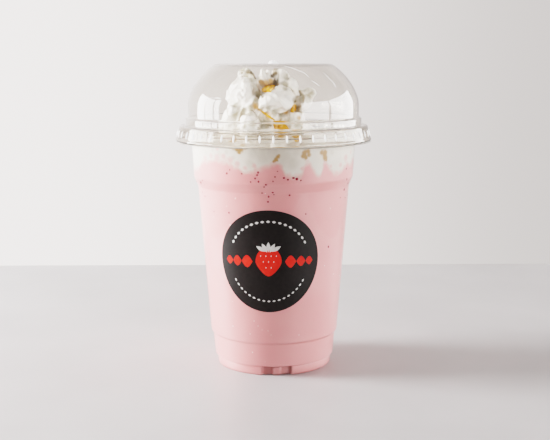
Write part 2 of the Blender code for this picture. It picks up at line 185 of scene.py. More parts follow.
# Seeds and bubbles that show against the wall, in pixels of the photograph
SEED_PIXELS = (
    (258, 172.5), (255, 178.5), (250.5, 182), (258.4, 181.7), (264, 187), (262, 193), (272.7, 192.5),
    (277.5, 171.5), (274, 194.7), (268.6, 196.7), (268, 201.8), (288, 179.7), (297, 179), (289.7, 195.3),
    (275, 177), (257, 175.2), (293.6, 178), (301, 180.4), (284, 178), (266, 184.8), (273, 181.5),
    (226.5, 173.5), (229.5, 170), (241.5, 173.8), (213.8, 211.6), (228.7, 212.7), (306, 214),
    (328.6, 246.7),
)
BUBBLE_PIXELS = (
    (254, 321), (258, 326), (262, 330), (250, 334), (268, 331), (271, 335), (299, 335), (265, 362),
)

# Smallest and largest sizes, and depths under the face of the drink, which the seeds stand out of
SEED_SIZES = (0.6 * MM, 1.2 * MM)
SEED_DEPTH = -0.05 * MM
BUBBLE_SIZES = (0.35 * MM, 0.75 * MM)
BUBBLE_DEPTH = 0.03 * MM
# Those that the photograph doesn't show: how many, and at which heights in millimetres
MORE_SEEDS = 46
SEED_HEIGHT = 96.0
SEED_SPREAD = 9.0
MORE_BUBBLES = 70
BUBBLE_HEIGHTS = (12.0, 96.0)

# The sticker and its print
STICKER_RADIUS = 26.2 * MM
STICKER_HEIGHT = 61.2 * MM
STICKER_AZIMUTH = math.radians(-4.0)
STICKER_THICKNESS = 0.16 * MM
STICKER_LIFT = 0.06 * MM
STICKER_CELL = 0.8 * MM
PRINT_LIFT = 0.03 * MM
BERRY_SIZE = (13.0 * MM, 14.8 * MM)
# Leaves of the berry's crown, by their place across in millimetres
CROWN_LEAVES = (-3.8, -1.9, 0.0, 1.9, 3.8)
CROWN_LEAF_SIZE = (5.2 * MM, 2.0 * MM)
CROWN_HEIGHT = 7.6 * MM
CROWN_DROP = 0.25
CROWN_LEAN = 0.27
# Lozenges on each side, by distance and size in millimetres
LOZENGES = ((11.0, 5.6), (16.4, 4.7), (20.9, 3.8))
DASH_RADIUS = 20.5 * MM
DASH_COUNT = 17
# Dashed arcs: first and last angle in degrees, and the length and width of a dash
DASH_ARCS = ((24, 156, 1.9 * MM, 1.2 * MM), (206, 334, 1.7 * MM, 0.9 * MM))
# Rows of seeds on the berry: height and count, and the step between seeds, in millimetres
BERRY_SEED_ROWS = ((3.0, 4), (0.0, 3), (-3.0, 2))
BERRY_SEED_STEP = 2.6
BERRY_SEED_SIZE = (0.9 * MM, 0.5 * MM)

TURN_STEPS = 384
SEED = 11
# Where the search for a pixel's point on the wall starts in front of the axis, and its steps
SEARCH_START = 45.0 * MM
SEARCH_STEPS = 40

# Sockets of the colour mix node
MIX_FIRST = 6
MIX_SECOND = 7
MIX_RESULT = 2

# How far light goes into cream, and how drink and cream shine where they press against the wall
CREAM_DEPTHS = (1.0, 0.85, 0.7)
AT_WALL = {
    "Roughness": 0.5,
    "Coat Weight": 0.6,
    "Coat Roughness": 0.35,
    "Sheen Weight": 0.25,
    "Sheen Roughness": 0.5,
    "Subsurface Weight": 0.2,
}


def srgb(red, green, blue):
    """Linear colour from the eight bit values read off a photograph."""
    out = []
    for value in (red, green, blue):
        share = value / 255.0
        out.append(share / 12.92 if share <= 0.04045 else ((share + 0.055) / 1.055) ** 2.4)
    return (*out, 1.0)


def around(azimuth, radius, height):
    """A point round the cup's axis. Azimuth runs from the front towards the right."""
    return Vector((radius * math.sin(azimuth), -radius * math.cos(azimuth), height))


def add_object(name, data):
    obj = bpy.data.objects.new(name, data)
    bpy.context.scene.collection.objects.link(obj)
    return obj


def mesh_object(name, bm):
    """An object made from an edit mesh, which is freed."""
    mesh = bpy.data.meshes.new(name)
    bm.to_mesh(mesh)
    bm.free()
    return add_object(name, mesh)


# Node trees

class Tree:
    """The nodes of a material or world, and short ways to add what feeds its shader."""

    def __init__(self, owner, shader="Principled BSDF", place="Object"):
        owner.use_nodes = True
        self.owner = owner
        self.nodes = owner.node_tree.nodes
        self.links = owner.node_tree.links
        self.shader = self.nodes[shader]
        self.place = self.add("ShaderNodeTexCoord").outputs[place]

    def feed(self, node, inputs):
        """Set inputs of a node, each to a value or from another node's socket."""
        for name, value in inputs.items():
            if isinstance(value, bpy.types.NodeSocket):
                self.links.new(value, node.inputs[name])
            else:
                node.inputs[name].default_value = value

    def add(self, kind, inputs=None):
        node = self.nodes.new(kind)
        self.feed(node, inputs or {})
        return node

    def finish(self, inputs):
        """Set inputs of the shader, and hand back the material or world."""
        self.feed(self.shader, inputs)
        return self.owner

    def axis(self, name):
        return self.add("ShaderNodeSeparateXYZ", {0: self.place}).outputs[name]

    def attribute(self, name):
        node = self.add("ShaderNodeAttribute")
        node.attribute_name = name
        return node.outputs["Fac"]

    def noise(self, scale, detail=2.0, distortion=0.0):
        inputs = {"Vector": self.place, "Scale": scale, "Detail": detail, "Distortion": distortion}
        return self.add("ShaderNodeTexNoise", inputs).outputs["Fac"]

    def remap(self, socket, low, high, to_low=0.0, to_high=1.0):
        inputs = {"Value": socket, "From Min": low, "From Max": high, "To Min": to_low, "To Max": to_high}
        return self.add("ShaderNodeMapRange", inputs).outputs["Result"]

    def math(self, operation, first, second):
        node = self.add("ShaderNodeMath", {0: first, 1: second})
        node.operation = operation
        return node.outputs[0]

    def mottle(self, socket, low, high):
        """From one colour to another over the middle of a noise's range."""
        node = self.add("ShaderNodeValToRGB", {"Fac": socket})
        for element, position, color in zip(node.color_ramp.elements, (0.3, 0.7), (low, high)):
            element.position = position
            element.color = color
        return node.outputs["Color"]

    def mix(self, share, first, second):
        node = self.nodes.new("ShaderNodeMix")
        node.data_type = "RGBA"
        self.feed(node, {0: share, MIX_FIRST: first, MIX_SECOND: second})
        return node.outputs[MIX_RESULT]

    def ragged(self, scale, reach):
        """A noise round zero that frays the edges of what it is added to."""
        return self.remap(self.noise(scale, 3.0, 0.8), 0.25, 0.75, -reach, reach)

    def tint(self, name, ragged, low, high, plain, color):
        """Blend a colour in where an attribute of the mesh is high, with ragged edges."""
        level = self.math("ADD", self.attribute(name), ragged)
        return self.mix(self.remap(level, low, high), plain, color)

    def relief(self, scale, detail, strength, distance):
        """Fine bumps from a noise, for the shader's normal."""
        inputs = {"Height": self.noise(scale, detail), "Strength": strength, "Distance": distance}
        return self.add("ShaderNodeBump", inputs).outputs["Normal"]


# Camera, world, lights and table

def camera_axes():
    """Right, up and forward of the camera in the row frame."""
    forward = Vector((0.0, math.cos(CAMERA_PITCH), -math.sin(CAMERA_PITCH)))
    up = Vector((0.0, math.sin(CAMERA_PITCH), math.cos(CAMERA_PITCH)))
    right = Vector((1.0, 0.0, 0.0))
    cosine, sine = math.cos(CAMERA_ROLL), math.sin(CAMERA_ROLL)
    return right * cosine + up * sine, up * cosine - right * sine, forward


def pixel_ray(x, y):
    """Direction in which the photograph's pixel looks."""
    right, up, forward = camera_axes()
    along = right * (x - IMAGE_WIDTH / 2) - up * (y - IMAGE_HEIGHT / 2)
    return (forward * FOCAL_PIXELS + along).normalized()


def make_camera():
    data = bpy.data.cameras.new("camera")
    data.sensor_fit = "HORIZONTAL"
    data.sensor_width = SENSOR_WIDTH
    data.lens = SENSOR_WIDTH * FOCAL_PIXELS / IMAGE_WIDTH
    data.clip_start = 0.01
    data.clip_end = 20.0
    camera = add_object("camera", data)
    right, up, forward = camera_axes()
    turn = Matrix((right, up, -forward)).transposed()
    camera.matrix_world = Matrix.Translation(CAMERA_PLACE) @ turn.to_4x4()
    bpy.context.scene.camera = camera


def make_world():
    """A light tent: brighter on the left, dimmer behind the camera and overhead."""
    world = bpy.data.worlds.new("tent")
    bpy.context.scene.world = world
    tree = Tree(world, "Background", "Generated")
    total = 1.0
    for axis, start, end, first, last in WORLD_RAMPS:
        share = tree.remap(tree.axis(axis), start, end, first, last)
        share.node.interpolation_type = "SMOOTHSTEP"
        total = tree.math("MULTIPLY", total, share)
    tree.finish({"Color": WORLD_COLOR, "Strength": total})


def area_light(name, azimuth, height, size, power):
    """A softbox that faces the middle of the object."""
    data = bpy.data.lights.new(name, "AREA")
    data.shape = "RECTANGLE"
    data.size, data.size_y = size
    data.energy = power
    light = add_object(name, data)
    place = around(math.radians(azimuth), LIGHT_DISTANCE, height)
    light.location = place
    light.rotation_euler = (place - LIGHT_AIM).to_track_quat("Z", "Y").to_euler()
    light.visible_camera = False
    light.visible_transmission = False
    return light


def make_lights():
    for name, azimuth, height, size, power, seen in LIGHTS:
        light = area_light(name, azimuth, height, size, power)
        light.visible_diffuse = seen == "diffuse"
        light.visible_glossy = seen == "glossy"
        light.visible_transmission = seen == "glossy"


def light_only(name, setup, *pieces):
    """A softbox that lights nothing but the given pieces."""
    light = area_light(name, *setup)
    lit = bpy.data.collections.new(name + "_receivers")
    for piece in pieces:
        lit.objects.link(piece)
    light.light_linking.receiver_collection = lit


def make_table():
    """A square table top whose back edge meets the wall as in the photograph."""
    bm = bmesh.new()
    bmesh.ops.create_grid(bm, x_segments=1, y_segments=1, size=TABLE_BACK)
    table = mesh_object("table", bm)
    tree = Tree(bpy.data.materials.new("table_top"))
    color = tree.mottle(tree.noise(14.0, 3.0), srgb(181, 178, 179), srgb(190, 187, 188))
    table.data.materials.append(tree.finish({"Base Color": color, "Roughness": 0.42}))
    light_only("table_light", TABLE_LIGHT, table)


# Materials

def clear_plastic(name, roughness, color, low_color=None):
    """Clear sheet. low_color tints the part below the lid's flange, where the sheet is drawn thicker."""
    tree = Tree(bpy.data.materials.new(name))
    tree.finish({
        "Base Color": color,
        "Transmission Weight": 1.0,
        "IOR": 1.5,
        "Roughness": tree.remap(tree.noise(60.0), 0.3, 0.7, roughness * 0.6, roughness * 1.4),
        "Normal": tree.relief(90.0, 1.0, 0.08, 0.3 * MM),
    })
    if low_color:
        height = tree.remap(tree.axis("Z"), FLANGE_TOP - 1.2 * MM, FLANGE_TOP - 0.2 * MM)
        tree.finish({"Base Color": tree.mix(height, low_color, color)})
    return tree.owner


def frosted_plastic(name, low, high, glint_glow):
    tree = Tree(bpy.data.materials.new(name))
    frost = tree.noise(700.0, 3.0)
    return tree.finish({
        "Base Color": tree.mottle(frost, low, high),
        "Roughness": tree.remap(frost, 0.3, 0.7, 0.25, 0.45),
        "Transmission Weight": 0.15,
        "IOR": 1.5,
        # The emission is a painted glint, so the frosted pieces shine white without a lamp
        "Emission Color": high,
        "Emission Strength": glint_glow,
    })


def meeting_tint(tree, drink, cream):
    """Drink below the meeting line and cream above it, with a soft and uneven edge."""
    return tree.tint("below_cream", tree.ragged(260.0, 0.35), -0.32, 0.55, cream, drink)


def milkshake_material():
    tree = Tree(bpy.data.materials.new("milkshake_pink"))
    body = tree.mottle(tree.noise(45.0, 3.0), srgb(233, 154, 153), srgb(236, 162, 161))
    return tree.finish(AT_WALL | {
        "Base Color": meeting_tint(tree, body, SHADED_CREAM_AT_WALL),
        "Subsurface Radius": (1.0, 0.5, 0.45),
        "Subsurface Scale": 2.0 * MM,
    })


def wall_cream_material():
    """Cream pressed against the wall: pink at its lower edge, tan where syrup runs through it, and darker in
    spots of painted shade.
    """
    tree = Tree(bpy.data.materials.new("cream_at_wall"))
    # Darker and greyer than the mound's cream: partly its pressed look, partly painted shade
    plain = tree.mottle(tree.noise(120.0, 3.0), SHADED_CREAM_AT_WALL, srgb(229, 222, 212))
    ragged = tree.ragged(300.0, 0.26)
    # Painted shade where the shade spots lie
    shaded = tree.tint("shade", ragged, 0.2, 1.1, plain, srgb(210, 201, 188))
    rosy = tree.tint("pink", ragged, 0.25, 0.9, shaded, srgb(226, 184, 178))
    stained = tree.tint("syrup", ragged, 0.28, 0.85, rosy, srgb(176, 134, 78))
    return tree.finish(AT_WALL | {
        "Base Color": meeting_tint(tree, srgb(235, 158, 157), stained),
        "Subsurface Radius": CREAM_DEPTHS,
        "Subsurface Scale": 1.5 * MM,
    })


def cream_material():
    tree = Tree(bpy.data.materials.new("cream_white"))
    cloud = tree.noise(70.0, 3.0)
    plain = tree.mottle(cloud, srgb(252, 247, 239), srgb(254, 251, 246))
    # Painted shade: the cream turns brownish grey the deeper a point lies in a fold
    recess_shaded = tree.mix(tree.remap(tree.attribute("recess_shade"), 0.12, 0.62), plain, srgb(168, 152, 124))
    ragged = tree.ragged(260.0, 0.3)
    # Painted shade: greyish olive in the folds listed in FOLD_SHADE_PIXELS
    shaded = tree.tint("shade", ragged, 0.2, 1.3, recess_shaded, srgb(158, 149, 122))
    stained = tree.tint("syrup", ragged, 0.3, 1.0, shaded, srgb(200, 158, 104))
    return tree.finish({
        # Painted shade: dark brown in the deepest folds
        "Base Color": tree.tint("deep_shade", ragged, 0.3, 0.9, stained, srgb(118, 98, 62)),
        "Roughness": tree.remap(cloud, 0.3, 0.7, 0.4, 0.52),
        "Subsurface Weight": 0.15,
        "Subsurface Radius": CREAM_DEPTHS,
        "Subsurface Scale": 0.8 * MM,
        "Normal": tree.relief(900.0, 3.0, 0.15, 0.15 * MM),
    })


def syrup_material():
    tree = Tree(bpy.data.materials.new("syrup_gold"))
    return tree.finish({
        "Base Color": tree.mottle(tree.noise(160.0), srgb(216, 148, 34), srgb(238, 172, 38)),
        "Roughness": 0.18,
        "Coat Weight": 0.6,
        "Subsurface Weight": 0.3,
        "Subsurface Radius": (1.0, 0.6, 0.15),
        "Subsurface Scale": 1.5 * MM,
    })


def speck_material(name, low, high):
    tree = Tree(bpy.data.materials.new(name))
    return tree.finish({"Base Color": tree.mottle(tree.noise(300.0), low, high), "Roughness": 0.5})


def print_material(name, low, high, roughness):
    """Printed ink on coated paper: faint mottle and fine paper relief."""
    tree = Tree(bpy.data.materials.new(name))
    return tree.finish({
        "Base Color": tree.mottle(tree.noise(500.0, 4.0), low, high),
        "Roughness": roughness,
        "Specular IOR Level": 0.34,
        "Normal": tree.relief(2500.0, 2.0, 0.1, 0.03 * MM),
    })


# Shapes

def finish_piece(obj, material, slot, *replaced, crisp=False):
    obj.data.materials.append(material)
    obj.data.shade_smooth()
    if crisp:
        obj.data.set_sharp_from_angle(angle=math.radians(50.0))
    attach(obj, "root")
    if replaced:
        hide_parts(*replaced)
    return obj


def apply_modifiers(obj):
    graph = bpy.context.evaluated_depsgraph_get()
    mesh = bpy.data.meshes.new_from_object(obj.evaluated_get(graph))
    obj.modifiers.clear()
    obj.data = mesh


def arc(center, radius, start, end, steps):
    points = []
    for step in range(steps + 1):
        angle = start + (end - start) * step / steps
        points.append((center[0] + radius * math.cos(angle), center[1] + radius * math.sin(angle)))
    return points


def curve_point(start, corner, end, share):
    """A point on the curve from start to end that bends towards corner."""
    return start * (1 - share) ** 2 + corner * 2 * share * (1 - share) + end * share ** 2


def rounded(points, radius, steps=4):
    """The outline with each inner corner turned into a short curve."""
    out = [points[0]]
    for before, corner, after in zip(points, points[1:], points[2:]):
        corner = Vector(corner)
        into = Vector(before) - corner
        away = Vector(after) - corner
        reach = min(radius, into.length * 0.45, away.length * 0.45)
        start = corner + into.normalized() * reach
        end = corner + away.normalized() * reach
        out += [tuple(curve_point(start, corner, end, step / steps)) for step in range(steps + 1)]
    out.append(points[-1])
    return out


def turned(name, profile, steps=TURN_STEPS, shape=None):
    """Turn a profile of (radius, height) points about Z. shape moves a point by its azimuth."""
    bm = bmesh.new()
    rows = []
    for radius, height in profile:
        if radius < 1e-7:
            rows.append([bm.verts.new((0.0, 0.0, height))])
            continue
        row = []
        for step in range(steps):
            azimuth = math.tau * step / steps
            place = (radius, height) if shape is None else shape(radius, height, azimuth)
            row.append(bm.verts.new(around(azimuth, *place)))
        rows.append(row)
    for upper, lower in zip(rows, rows[1:]):
        for step in range(steps):
            after = (step + 1) % steps
            if len(upper) == 1:
                bm.faces.new((upper[0], lower[step], lower[after]))
            elif len(lower) == 1:
                bm.faces.new((upper[step], lower[0], upper[after]))
            else:
                bm.faces.new((upper[step], lower[step], lower[after], upper[after]))
    return mesh_object(name, bm)


def add_sheet(obj, thickness):
    shell = obj.modifiers.new("Sheet", "SOLIDIFY")
    shell.thickness = thickness
    shell.offset = -1.0
    shell.use_even_offset = True
    shell.use_quality_normals = True
    apply_modifiers(obj)


def smoothstep(low, high, value):
    share = max(0.0, min(1.0, (value - low) / (high - low)))
    return share * share * (3 - 2 * share)


def turn_gap(azimuth, center):
    """Signed angle from a centre to an azimuth, from minus pi to pi."""
    return (azimuth - center + math.pi) % math.tau - math.pi


def notch_depth(azimuth):
    """How far the foot is pressed in at an azimuth: three notches, each with a post in its middle."""
    depth = 0.0
    edge = 0.5 * MM
    for index in range(NOTCH_COUNT):
        across = abs(turn_gap(azimuth, NOTCH_AZIMUTH + math.tau * index / NOTCH_COUNT)) * FOOT_RADIUS
        inside = 1.0 - smoothstep(NOTCH_WIDTH / 2 - edge, NOTCH_WIDTH / 2 + edge, across)
        post = 1.0 - smoothstep(POST_WIDTH / 2 - edge, POST_WIDTH / 2 + edge, across)
        depth += inside * (NOTCH_DEPTH + (POST_DEPTH - NOTCH_DEPTH) * post)
    return depth


def pressed_foot(radius, height, azimuth):
    """The foot ring's outer side, pressed in at the notches."""
    middle = (FOOT_RADIUS + FOOT_INNER_RADIUS) / 2
    if height < BASE_UNDERSIDE - 0.1 * MM and radius > middle:
        radius -= notch_depth(azimuth)
    return radius, height


def wall_outline():
    """Outer face of the wall from under the rim to the foot."""
    return [
        (RIM_RADIUS - CURL_WIDTH + SHEET, CURL_EDGE),
        NECK,
        BAND,
        LEDGE,
        GROOVE,
        (GROOVE[0] - GROOVE_STEP, GROOVE[1] - GROOVE_STEP),
        HEEL,
        (FOOT_RADIUS, BASE_UNDERSIDE),
    ]


def wall_radius(height):
    """Radius of the wall's outer face at a height."""
    points = wall_outline()
    for (upper_radius, upper), (lower_radius, lower) in zip(points, points[1:]):
        if height >= lower:
            share = min(1.0, (height - lower) / (upper - lower))
            return lower_radius + (upper_radius - lower_radius) * share
    return points[-1][0]


def foot_outline(inset):
    """Down the foot ring's outer side, under it and up to the base's underside."""
    turn = 0.9 * MM
    cut = turn / 3
    return [
        (FOOT_RADIUS - inset, BASE_UNDERSIDE - 0.6 * MM),
        (FOOT_RADIUS - inset, turn + inset),
        (FOOT_RADIUS - cut - inset, cut + inset),
        (FOOT_RADIUS - turn - inset, inset),
        (FOOT_INNER_RADIUS + turn + inset, inset),
        (FOOT_INNER_RADIUS + inset, turn + inset),
        (FOOT_INNER_RADIUS + inset, BASE_UNDERSIDE + inset),
    ]


def make_cup():
    half = CURL_WIDTH / 2
    center = (RIM_RADIUS - half, RIM_TOP - half)
    profile = arc(center, half - SHEET, math.radians(-110.0), math.pi, 18)
    profile += rounded(wall_outline(), CORNER)
    profile += foot_outline(0.0) + [(0.0, BASE_UNDERSIDE)]
    cup = turned("clear_cup_shell", profile, shape=pressed_foot)
    add_sheet(cup, SHEET)
    finish_piece(cup, clear_plastic("cup_plastic", 0.06, srgb(252, 252, 251)), "clear_cup", "cup")
    cup.visible_shadow = False


def dome_outline():
    """From the edge of the flat top down to the dome's shoulder, steeper towards its foot."""
    steps = 18
    power = 1.55
    points = []
    for step in range(1, steps + 1):
        share = step / steps
        radius = LID_TOP_RADIUS + (DOME_RADIUS - LID_TOP_RADIUS) * math.sin(share * math.pi / 2)
        fall = (1.0 - math.cos(share * math.pi / 2)) ** (1.0 / power)
        points.append((radius, LID_TOP - (LID_TOP - DOME_SHOULDER) * fall))
    return points


def skirt_radius(height):
    """Radius of the skirt's ribbed band, which flares a little downwards."""
    share = (height - SKIRT_LOW) / (FLANGE_TOP - SKIRT_LOW)
    return SKIRT_RADIUS - SKIRT_FLARE * share


def make_lip_bead():
    """The thick edge of the skirt, grey as painted shade for the dark line along the lip."""
    middle = (LIP[0] - BEAD_RADIUS, LIP[1] + BEAD_RADIUS)
    bead = turned("lid_lip_bead", arc(middle, BEAD_RADIUS, 0.0, -math.tau, 10))
    finish_piece(bead, LIP_SHADE_PLASTIC, "clear_lid")


def make_ribs():
    """Small upright frosted beads round the upper half of the lid's skirt, glowing a little as painted
    glints.
    """
    bm = bmesh.new()
    height = (RIB_LOW + RIB_HIGH) / 2
    lean = Matrix.Rotation(-math.atan(SKIRT_FLARE / (FLANGE_TOP - SKIRT_LOW)), 4, "X")
    size = Matrix.Diagonal((RIB_WIDTH, RIB_DEPTH * 2, RIB_HIGH - RIB_LOW, 1.0))
    for index in range(RIB_COUNT):
        azimuth = math.tau * index / RIB_COUNT
        middle = around(azimuth, skirt_radius(height), height)
        place = Matrix.Translation(middle) @ Matrix.Rotation(azimuth, 4, "Z") @ lean
        bmesh.ops.create_uvsphere(bm, u_segments=12, v_segments=12, radius=0.5, matrix=place @ size)
    finish_piece(mesh_object("lid_ribs", bm), FROSTED_GLINT, "clear_lid")


def make_lid():
    profile = [(0.0, LID_TOP), (LID_TOP_RADIUS - 1.0 * MM, LID_TOP)]
    profile += dome_outline()
    shoulder = [
        (DOME_RADIUS, COLLAR_TOP + 0.4 * MM),
        (COLLAR_RADIUS, COLLAR_TOP - 0.2 * MM),
        (COLLAR_RADIUS, FLANGE_TOP),
        (FLANGE_RADIUS, FLANGE_TOP - 0.06 * MM),
    ]
    profile += rounded([profile[-1]] + shoulder, LID_CORNER)[1:]
    top = FLANGE_TOP - 0.1 * MM - FLANGE_TURN
    profile += arc((skirt_radius(top) - FLANGE_TURN, top), FLANGE_TURN, math.pi * 0.45, 0.0, 6)
    steps = 8
    heights = [top + (SKIRT_LOW - top) * step / steps for step in range(1, steps + 1)]
    profile += [(skirt_radius(height), height) for height in heights]
    profile.append((LIP[0] - 0.2 * MM, SKIRT_LOW - 0.4 * MM))
    profile.append((LIP[0] - 0.05 * MM, SKIRT_LOW - 0.8 * MM))
    profile.append(LIP)
    lid = turned("clear_lid_shell", profile)
    add_sheet(lid, SHEET)
    plastic = clear_plastic("lid_plastic", 0.04, srgb(236, 233, 229), srgb(214, 206, 196))
    finish_piece(lid, plastic, "clear_lid", "lid")
    lid.visible_shadow = False
    return lid


def surface_of(obj):
    """The object's faces, for rays to meet."""
    faces = [tuple(face.vertices) for face in obj.data.polygons]
    return BVHTree.FromPolygons([vertex.co for vertex in obj.data.vertices], faces)


def make_scuff_glints(lid):
    """Fine scuffs pressed into the dome's outer face, each a thin tapered thread, made bright by a painted
    glint.
    """
    surface = surface_of(lid)
    bm = bmesh.new()
    count = SCUFF_GLINT_STEPS
    sides = SCUFF_GLINT_SIDES
    turns = [math.tau * corner / sides for corner in range(sides)]
    for start, middle, end, width in SCUFF_GLINT_PIXELS:
        points = []
        for step in range(count + 1):
            pixel = curve_point(Vector(start), Vector(middle), Vector(end), step / count)
            place, normal, _, _ = surface.ray_cast(CAMERA_PLACE, pixel_ray(*pixel))
            points.append((place - normal * SCUFF_GLINT_DEPTH, normal))
        loops = []
        for step, (place, normal) in enumerate(points):
            along = points[min(step + 1, count)][0] - points[max(step - 1, 0)][0]
            side = along.cross(normal).normalized()
            radius = width * MM / 2 * (0.15 + 0.85 * math.sin(math.pi * step / count))
            ring = [side * math.cos(turn) + normal * math.sin(turn) * SCUFF_GLINT_FLATNESS for turn in turns]
            loops.append([bm.verts.new(place + offset * radius) for offset in ring])
        for below, above in zip(loops, loops[1:]):
            for corner in range(sides):
                after = (corner + 1) % sides
                bm.faces.new((below[corner], below[after], above[after], above[corner]))
        bm.faces.new(list(reversed(loops[0])))
        bm.faces.new(loops[-1])
    bmesh.ops.recalc_face_normals(bm, faces=bm.faces)
    finish_piece(mesh_object("lid_scuff_glints", bm), FROSTED_GLINT, "clear_lid")


def make_nub():
    """The frosted moulding mark in the middle of the lid's top, glowing a little as a painted highlight."""
    top = LID_TOP + NUB_HEIGHT
    profile = [
        (0.0, top),
        (NUB_RADIUS * 0.45, top),
        (NUB_RADIUS * 0.75, top - 0.3 * MM),
        (NUB_RADIUS, LID_TOP + 0.3 * MM),
        (NUB_RADIUS * 1.1, LID_TOP - 0.1 * MM),
        (0.0, LID_TOP - 0.1 * MM),
    ]
    finish_piece(turned("lid_nub", profile, 48), FROSTED_GLINT, "clear_lid")


def on_wall(x, y):
    """Azimuth and height where a pixel of the photograph meets the wall, found by steps along its ray."""
    ray = pixel_ray(x, y)
    distance = -CAMERA_PLACE.y - SEARCH_START
    for _ in range(SEARCH_STEPS):
        point = CAMERA_PLACE + ray * distance
        distance += (math.hypot(point.x, point.y) - wall_radius(point.z)) * 0.8
    return math.atan2(point.x, -point.y), point.z


def meeting_wave(azimuth):
    """Wave of the meeting level where the photograph doesn't show it."""
    turn = azimuth - math.pi / 2
    return sum(size * math.sin(count * turn + phase) for count, size, phase in MEETING_WAVES)


def meeting_table():
    """Meeting height at the wall by azimuth: the photograph's line in front, waves and fingers behind."""
    seen = sorted(on_wall(x, y) for x, y in MEETING_LINE_PIXELS)
    azimuths = [azimuth for azimuth, _ in seen]
    heights = [height for _, height in seen]
    table = []
    for step in range(TURN_STEPS):
        azimuth = turn_gap(math.tau * step / TURN_STEPS, 0.0)
        strength = 0.5 + 0.5 * math.sin(azimuth * 2.3 + 1.0)
        finger = abs(math.sin(azimuth * 5.5)) ** 3 * FINGER_HEIGHT * strength
        hidden = MEETING_LEVEL + meeting_wave(azimuth) + finger
        shown = float(np.interp(azimuth, azimuths, heights))
        edge = min(azimuth - azimuths[0], azimuths[-1] - azimuth)
        share = smoothstep(-0.2, 0.0, edge)
        table.append(hidden * (1 - share) + shown * share)
    return table


MEETING = meeting_table()
MEETING_RADIUS = wall_radius(MEETING_LEVEL) - FILLING_INSET


def meeting_height(azimuth):
    place = (azimuth % math.tau) / math.tau * TURN_STEPS
    low = int(place) % TURN_STEPS
    share = place - int(place)
    return MEETING[low] * (1 - share) + MEETING[(low + 1) % TURN_STEPS] * share


def filling_outline(top, bottom, count):
    """The wall's face for what fills the cup, in even steps between two heights."""
    heights = [top + (bottom - top) * step / count for step in range(count + 1)]
    return [(wall_radius(height) - FILLING_INSET, height) for height in heights]


def follow_meeting(radius, height, azimuth, level):
    """Move a point of drink or cream with the meeting line, less and less towards a level that stays."""
    share = (height - level) / (MEETING_LEVEL - level)
    if share > 0.0:
        rise = (meeting_height(azimuth) - MEETING_LEVEL) * share
        if share > 0.999:
            rise *= smoothstep(0.5, 1.0, radius / MEETING_RADIUS)
        height += rise
        if radius > MEETING_RADIUS - MM:
            radius = wall_radius(height) - FILLING_INSET
    return radius, height


def make_milkshake():
    lower = [(wall_radius(DRINK_LEVEL) - FILLING_INSET, DRINK_LEVEL)]
    lower += [(radius - FILLING_INSET, height) for radius, height in wall_outline() if height < DRINK_LEVEL]
    profile = [(MEETING_RADIUS * share, MEETING_LEVEL) for share in (0.0, 0.3, 0.55, 0.75, 0.88, 0.95)]
    profile += filling_outline(MEETING_LEVEL, DRINK_LEVEL, 14)
    profile += rounded(lower, CORNER)[1:] + foot_outline(FILLING_INSET)
    profile.append((0.0, BASE_UNDERSIDE + FILLING_INSET))

    def shaped(radius, height, azimuth):
        radius, height = pressed_foot(radius, height, azimuth)
        return follow_meeting(radius, height, azimuth, DRINK_LEVEL)

    drink = turned("milkshake_drink", profile, shape=shaped)
    mark_depth(drink)
    finish_piece(drink, milkshake_material(), "milkshake", "milkshake", crisp=True)


def mark_depth(obj):
    """Depth of each point under the meeting line, as a share of the fade, from minus one to one."""
    below = obj.data.attributes.new("below_cream", "FLOAT", "POINT")
    for vertex, value in zip(obj.data.vertices, below.data):
        azimuth = math.atan2(vertex.co.x, -vertex.co.y)
        value.value = max(-1.0, min(1.0, (meeting_height(azimuth) - vertex.co.z) / MEETING_FADE))


def mark_spots(obj, name, spots):
    """How much each point is coloured, from spots of (centre, reach) with soft edges."""
    stain = obj.data.attributes.new(name, "FLOAT", "POINT")
    for vertex, value in zip(obj.data.vertices, stain.data):
        near = 0.0
        for center, reach in spots:
            near = max(near, math.exp(-((vertex.co - center).length / reach) ** 3))
        value.value = near


def make_cream_fill():
    """The cream against the wall, from where it meets the drink up to the neck."""
    profile = [(radius * MM, CREAM_EDGE + rise * MM) for radius, rise in CREAM_TOP]
    profile += filling_outline(CREAM_EDGE, MEETING_LEVEL, 30)
    profile += [(MEETING_RADIUS * share, MEETING_LEVEL) for share in (0.95, 0.88, 0.75, 0.0)]

    def shaped(radius, height, azimuth):
        radius, height = follow_meeting(radius, height, azimuth, CREAM_EDGE)
        if height > CREAM_EDGE - 0.5 * MM:
            height += noise.noise(around(azimuth, radius, height) * CREAM_TOP_SCALE) * CREAM_TOP_WAVE
        return radius, height

    fill = turned("whipped_cream_fill", profile, shape=shaped)
    mark_depth(fill)
    marks = {"syrup": WALL_SYRUP_PIXELS, "shade": WALL_SHADE_PIXELS, "pink": WALL_PINK_PIXELS}
    for name, pixels in marks.items():
        spots = []
        for x, y, reach in pixels:
            azimuth, height = on_wall(x, y)
            spots.append((around(azimuth, wall_radius(height), height), reach * MM))
        mark_spots(fill, name, spots)
    finish_piece(fill, wall_cream_material(), "whipped_cream", "whipped_cream", crisp=True)


